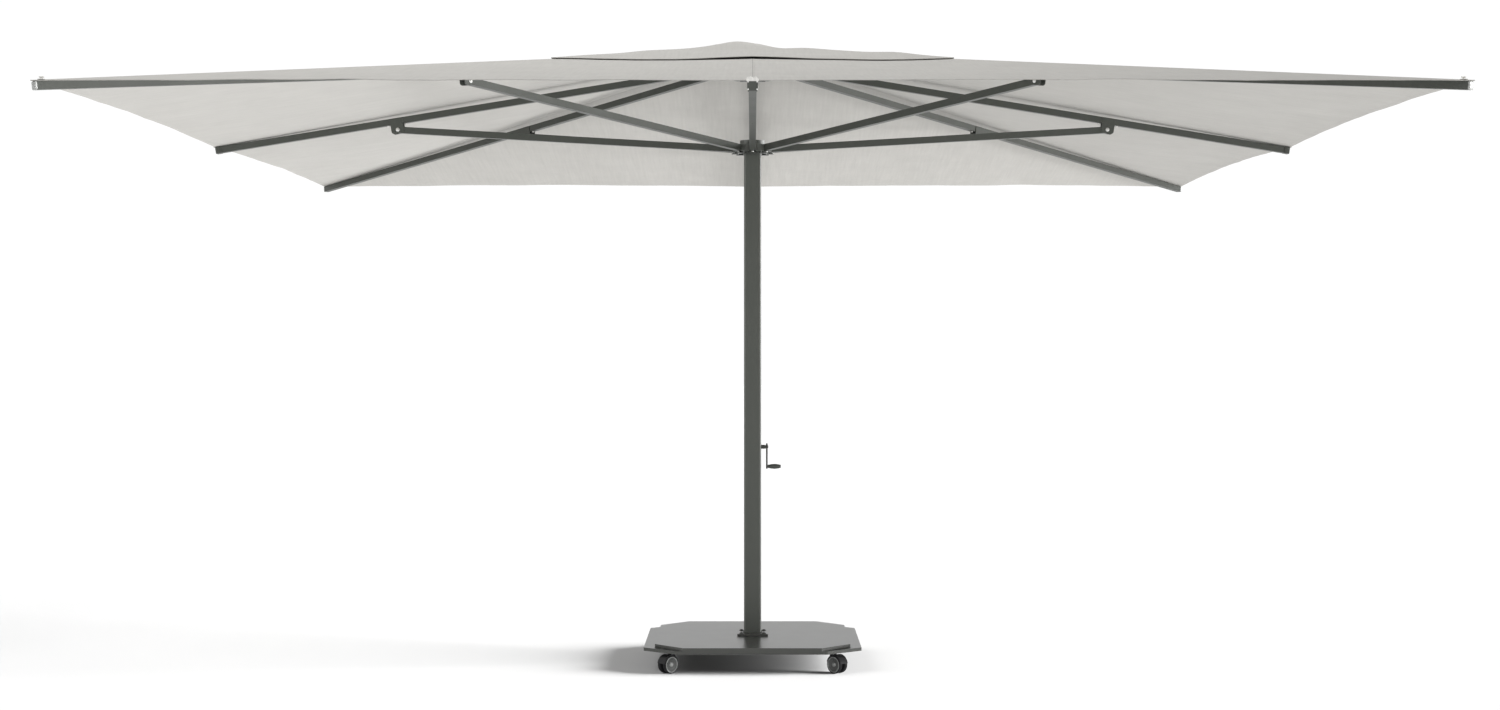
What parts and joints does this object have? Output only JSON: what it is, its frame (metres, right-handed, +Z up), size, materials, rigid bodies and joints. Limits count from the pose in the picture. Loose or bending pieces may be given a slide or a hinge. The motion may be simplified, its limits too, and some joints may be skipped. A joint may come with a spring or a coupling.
{
  "type": "patio umbrella with base",
  "caption": "Square patio umbrella with a telescoping centre mast, strutted ribs, a vented cloth canopy, a crank winch and a wheeled steel plate base.",
  "frame": {"origin": "on the floor, under the mast's axis", "axes": "+Z up along the mast; the canopy's sides run along X and Y; the crank is on the +X face of the mast; the front is -Y"},
  "size_m": [5.0002, 5.0002, 2.872],
  "materials": {
    "canopy_cloth": "matte",
    "frame_coating": "satin",
    "inner_mast_metal": "satin",
    "base_coating": "satin",
    "bright_steel": "satin",
    "winch_steel": "satin",
    "grip_plastic": "matte",
    "castor_plastic": "satin",
    "castor_tyre": "matte",
    "rope_fibre": "matte"
  },
  "bodies": {
    "root": {"base_plate_lower": "base_coating", "base_plate_upper": "base_coating", "mast_foot": "frame_coating", "foot_bolt_1": "bright_steel", "foot_bolt_2": "bright_steel", "foot_bolt_3": "bright_steel", "foot_bolt_4": "bright_steel", "mast_tube": "frame_coating", "strut_hub": "frame_coating", "crank_boss": "frame_coating", "lift_rope": "rope_fibre"},
    "strut_right": {"strut_right": "frame_coating"},
    "rib_right": {"rib_right": "frame_coating", "rib_bracket_right": "frame_coating", "canopy_panel_right": "canopy_cloth"},
    "strut_back_right": {"strut_back_right": "frame_coating"},
    "rib_back_right": {"rib_back_right": "frame_coating", "rib_bracket_back_right": "frame_coating", "canopy_panel_back_right": "canopy_cloth"},
    "strut_back": {"strut_back": "frame_coating"},
    "rib_back": {"rib_back": "frame_coating", "rib_bracket_back": "frame_coating", "canopy_panel_back": "canopy_cloth"},
    "strut_back_left": {"strut_back_left": "frame_coating"},
    "rib_back_left": {"rib_back_left": "frame_coating", "rib_bracket_back_left": "frame_coating", "canopy_panel_back_left": "canopy_cloth"},
    "strut_left": {"strut_left": "frame_coating"},
    "rib_left": {"rib_left": "frame_coating", "rib_bracket_left": "frame_coating", "canopy_panel_left": "canopy_cloth"},
    "strut_front_left": {"strut_front_left": "frame_coating"},
    "rib_front_left": {"rib_front_left": "frame_coating", "rib_bracket_front_left": "frame_coating", "canopy_panel_front_left": "canopy_cloth"},
    "strut_front": {"strut_front": "frame_coating"},
    "rib_front": {"rib_front": "frame_coating", "rib_bracket_front": "frame_coating", "canopy_panel_front": "canopy_cloth"},
    "strut_front_right": {"strut_front_right": "frame_coating"},
    "rib_front_right": {"rib_front_right": "frame_coating", "rib_bracket_front_right": "frame_coating", "canopy_panel_front_right": "canopy_cloth"},
    "crown": {"top_crown": "frame_coating", "crown_cap": "frame_coating", "inner_mast_upper": "frame_coating", "vent_cap": "canopy_cloth"},
    "inner_mast": {"inner_mast_lower": "inner_mast_metal"},
    "crank": {"crank_arm": "winch_steel", "rope_drum": "winch_steel"},
    "sheave": {"rope_sheave": "winch_steel"},
    "grip": {"crank_grip": "grip_plastic"},
    "castor_back_right": {"castor_housing_back_right": "castor_plastic"},
    "wheels_back_right": {"castor_wheels_back_right": "castor_tyre"},
    "castor_back_left": {"castor_housing_back_left": "castor_plastic"},
    "wheels_back_left": {"castor_wheels_back_left": "castor_tyre"},
    "castor_front_left": {"castor_housing_front_left": "castor_plastic"},
    "wheels_front_left": {"castor_wheels_front_left": "castor_tyre"},
    "castor_front_right": {"castor_housing_front_right": "castor_plastic"},
    "wheels_front_right": {"castor_wheels_front_right": "castor_tyre"}
  },
  "joints": [
    {"name": "strut_right_hinge", "type": "hinge", "parent": "root", "child": "strut_right", "pos_m": [0.082, 0, 2.378], "axis": [0, -1, 0], "range_deg": [0, 80.5]},
    {"name": "rib_right_hinge", "type": "hinge", "parent": "strut_right", "child": "rib_right", "pos_m": [1.648, 0, 2.4664], "axis": [0, -1, 0], "range_deg": [-156, 0], "deforming": ["canopy_panel_right"]},
    {"name": "strut_back_right_hinge", "type": "hinge", "parent": "root", "child": "strut_back_right", "pos_m": [0.05798, 0.05798, 2.378], "axis": [0.7071, -0.7071, 0], "range_deg": [0, 78]},
    {"name": "rib_back_right_hinge", "type": "hinge", "parent": "strut_back_right", "child": "rib_back_right", "pos_m": [1.16531, 1.16531, 2.5498], "axis": [0.7071, -0.7071, 0], "range_deg": [-156, 0], "deforming": ["canopy_panel_back_right"]},
    {"name": "strut_back_hinge", "type": "hinge", "parent": "root", "child": "strut_back", "pos_m": [0, 0.082, 2.378], "axis": [1, 0, 0], "range_deg": [0, 80.5]},
    {"name": "rib_back_hinge", "type": "hinge", "parent": "strut_back", "child": "rib_back", "pos_m": [0, 1.648, 2.4664], "axis": [1, 0, 0], "range_deg": [-156, 0], "deforming": ["canopy_panel_back"]},
    {"name": "strut_back_left_hinge", "type": "hinge", "parent": "root", "child": "strut_back_left", "pos_m": [-0.05798, 0.05798, 2.378], "axis": [0.7071, 0.7071, 0], "range_deg": [0, 78]},
    {"name": "rib_back_left_hinge", "type": "hinge", "parent": "strut_back_left", "child": "rib_back_left", "pos_m": [-1.16531, 1.16531, 2.5498], "axis": [0.7071, 0.7071, 0], "range_deg": [-156, 0], "deforming": ["canopy_panel_back_left"]},
    {"name": "strut_left_hinge", "type": "hinge", "parent": "root", "child": "strut_left", "pos_m": [-0.082, 0, 2.378], "axis": [0, 1, 0], "range_deg": [0, 80.5]},
    {"name": "rib_left_hinge", "type": "hinge", "parent": "strut_left", "child": "rib_left", "pos_m": [-1.648, 0, 2.4664], "axis": [0, 1, 0], "range_deg": [-156, 0], "deforming": ["canopy_panel_left"]},
    {"name": "strut_front_left_hinge", "type": "hinge", "parent": "root", "child": "strut_front_left", "pos_m": [-0.05798, -0.05798, 2.378], "axis": [-0.7071, 0.7071, 0], "range_deg": [0, 78]},
    {"name": "rib_front_left_hinge", "type": "hinge", "parent": "strut_front_left", "child": "rib_front_left", "pos_m": [-1.16531, -1.16531, 2.5498], "axis": [-0.7071, 0.7071, 0], "range_deg": [-156, 0], "deforming": ["canopy_panel_front_left"]},
    {"name": "strut_front_hinge", "type": "hinge", "parent": "root", "child": "strut_front", "pos_m": [0, -0.082, 2.378], "axis": [-1, 0, 0], "range_deg": [0, 80.5]},
    {"name": "rib_front_hinge", "type": "hinge", "parent": "strut_front", "child": "rib_front", "pos_m": [0, -1.648, 2.4664], "axis": [-1, 0, 0], "range_deg": [-156, 0], "deforming": ["canopy_panel_front"]},
    {"name": "canopy_fold", "type": "hinge", "parent": "root", "child": "strut_front_right", "pos_m": [0.05798, -0.05798, 2.378], "axis": [-0.7071, -0.7071, 0], "range_deg": [0, 77.74]},
    {"name": "rib_front_right_hinge", "type": "hinge", "parent": "strut_front_right", "child": "rib_front_right", "pos_m": [1.16531, -1.16531, 2.5498], "axis": [-0.7071, -0.7071, 0], "range_deg": [-156, 0], "deforming": ["canopy_panel_front_right"]},
    {"name": "crown_hinge", "type": "hinge", "parent": "rib_front_right", "child": "crown", "pos_m": [0.05798, -0.05798, 2.7216], "axis": [-0.7071, -0.7071, 0], "range_deg": [0, 78], "deforming": ["vent_cap"]},
    {"name": "inner_mast_slide", "type": "slide", "parent": "root", "child": "inner_mast", "axis": [0, 0, 1], "range_m": [0, 1.705]},
    {"name": "crank_turn", "type": "hinge", "parent": "root", "child": "crank", "pos_m": [0.0275, 0, 0.993], "axis": [1, 0, 0], "range_deg": [-6100, 0]},
    {"name": "sheave_turn", "type": "hinge", "parent": "root", "child": "sheave", "pos_m": [0.028, 0, 2.322], "axis": [1, 0, 0], "range_deg": [-8150, 0]},
    {"name": "grip_spin", "type": "hinge", "parent": "crank", "child": "grip", "pos_m": [0.1, 0, 0.902], "axis": [1, 0, 0], "continuous": true},
    {"name": "castor_back_right_swivel", "type": "hinge", "parent": "root", "child": "castor_back_right", "pos_m": [0.35822, 0.35822, 0.089], "axis": [0, 0, 1], "continuous": true},
    {"name": "wheels_back_right_roll", "type": "hinge", "parent": "castor_back_right", "child": "wheels_back_right", "pos_m": [0.37802, 0.37802, 0.04], "axis": [0.7071, -0.7071, 0], "continuous": true},
    {"name": "castor_back_left_swivel", "type": "hinge", "parent": "root", "child": "castor_back_left", "pos_m": [-0.35822, 0.35822, 0.089], "axis": [0, 0, 1], "continuous": true},
    {"name": "wheels_back_left_roll", "type": "hinge", "parent": "castor_back_left", "child": "wheels_back_left", "pos_m": [-0.37802, 0.37802, 0.04], "axis": [0.7071, 0.7071, 0], "continuous": true},
    {"name": "castor_front_left_swivel", "type": "hinge", "parent": "root", "child": "castor_front_left", "pos_m": [-0.35822, -0.35822, 0.089], "axis": [0, 0, 1], "continuous": true},
    {"name": "wheels_front_left_roll", "type": "hinge", "parent": "castor_front_left", "child": "wheels_front_left", "pos_m": [-0.37802, -0.37802, 0.04], "axis": [-0.7071, 0.7071, 0], "continuous": true},
    {"name": "castor_front_right_swivel", "type": "hinge", "parent": "root", "child": "castor_front_right", "pos_m": [0.35822, -0.35822, 0.089], "axis": [0, 0, 1], "continuous": true},
    {"name": "wheels_front_right_roll", "type": "hinge", "parent": "castor_front_right", "child": "wheels_front_right", "pos_m": [0.37802, -0.37802, 0.04], "axis": [-0.7071, -0.7071, 0], "continuous": true}
  ],
  "couplings": [
    {"joint": "strut_right_hinge", "follows": "canopy_fold", "ratio": 1.0293},
    {"joint": "rib_right_hinge", "follows": "canopy_fold", "ratio": -1.9821},
    {"joint": "strut_back_right_hinge", "follows": "canopy_fold", "ratio": 1},
    {"joint": "rib_back_right_hinge", "follows": "canopy_fold", "ratio": -2},
    {"joint": "strut_back_hinge", "follows": "canopy_fold", "ratio": 1.0293},
    {"joint": "rib_back_hinge", "follows": "canopy_fold", "ratio": -1.9821},
    {"joint": "strut_back_left_hinge", "follows": "canopy_fold", "ratio": 1},
    {"joint": "rib_back_left_hinge", "follows": "canopy_fold", "ratio": -2},
    {"joint": "strut_left_hinge", "follows": "canopy_fold", "ratio": 1.0293},
    {"joint": "rib_left_hinge", "follows": "canopy_fold", "ratio": -1.9821},
    {"joint": "strut_front_left_hinge", "follows": "canopy_fold", "ratio": 1},
    {"joint": "rib_front_left_hinge", "follows": "canopy_fold", "ratio": -2},
    {"joint": "strut_front_hinge", "follows": "canopy_fold", "ratio": 1.0293},
    {"joint": "rib_front_hinge", "follows": "canopy_fold", "ratio": -1.9821},
    {"joint": "rib_front_right_hinge", "follows": "canopy_fold", "ratio": -2},
    {"joint": "crown_hinge", "follows": "canopy_fold", "ratio": 1},
    {"joint": "inner_mast_slide", "follows": "canopy_fold", "m_per_rad": 1.253},
    {"joint": "crank_turn", "follows": "canopy_fold", "ratio": -78.309},
    {"joint": "sheave_turn", "follows": "canopy_fold", "ratio": -104.41}
  ]
}
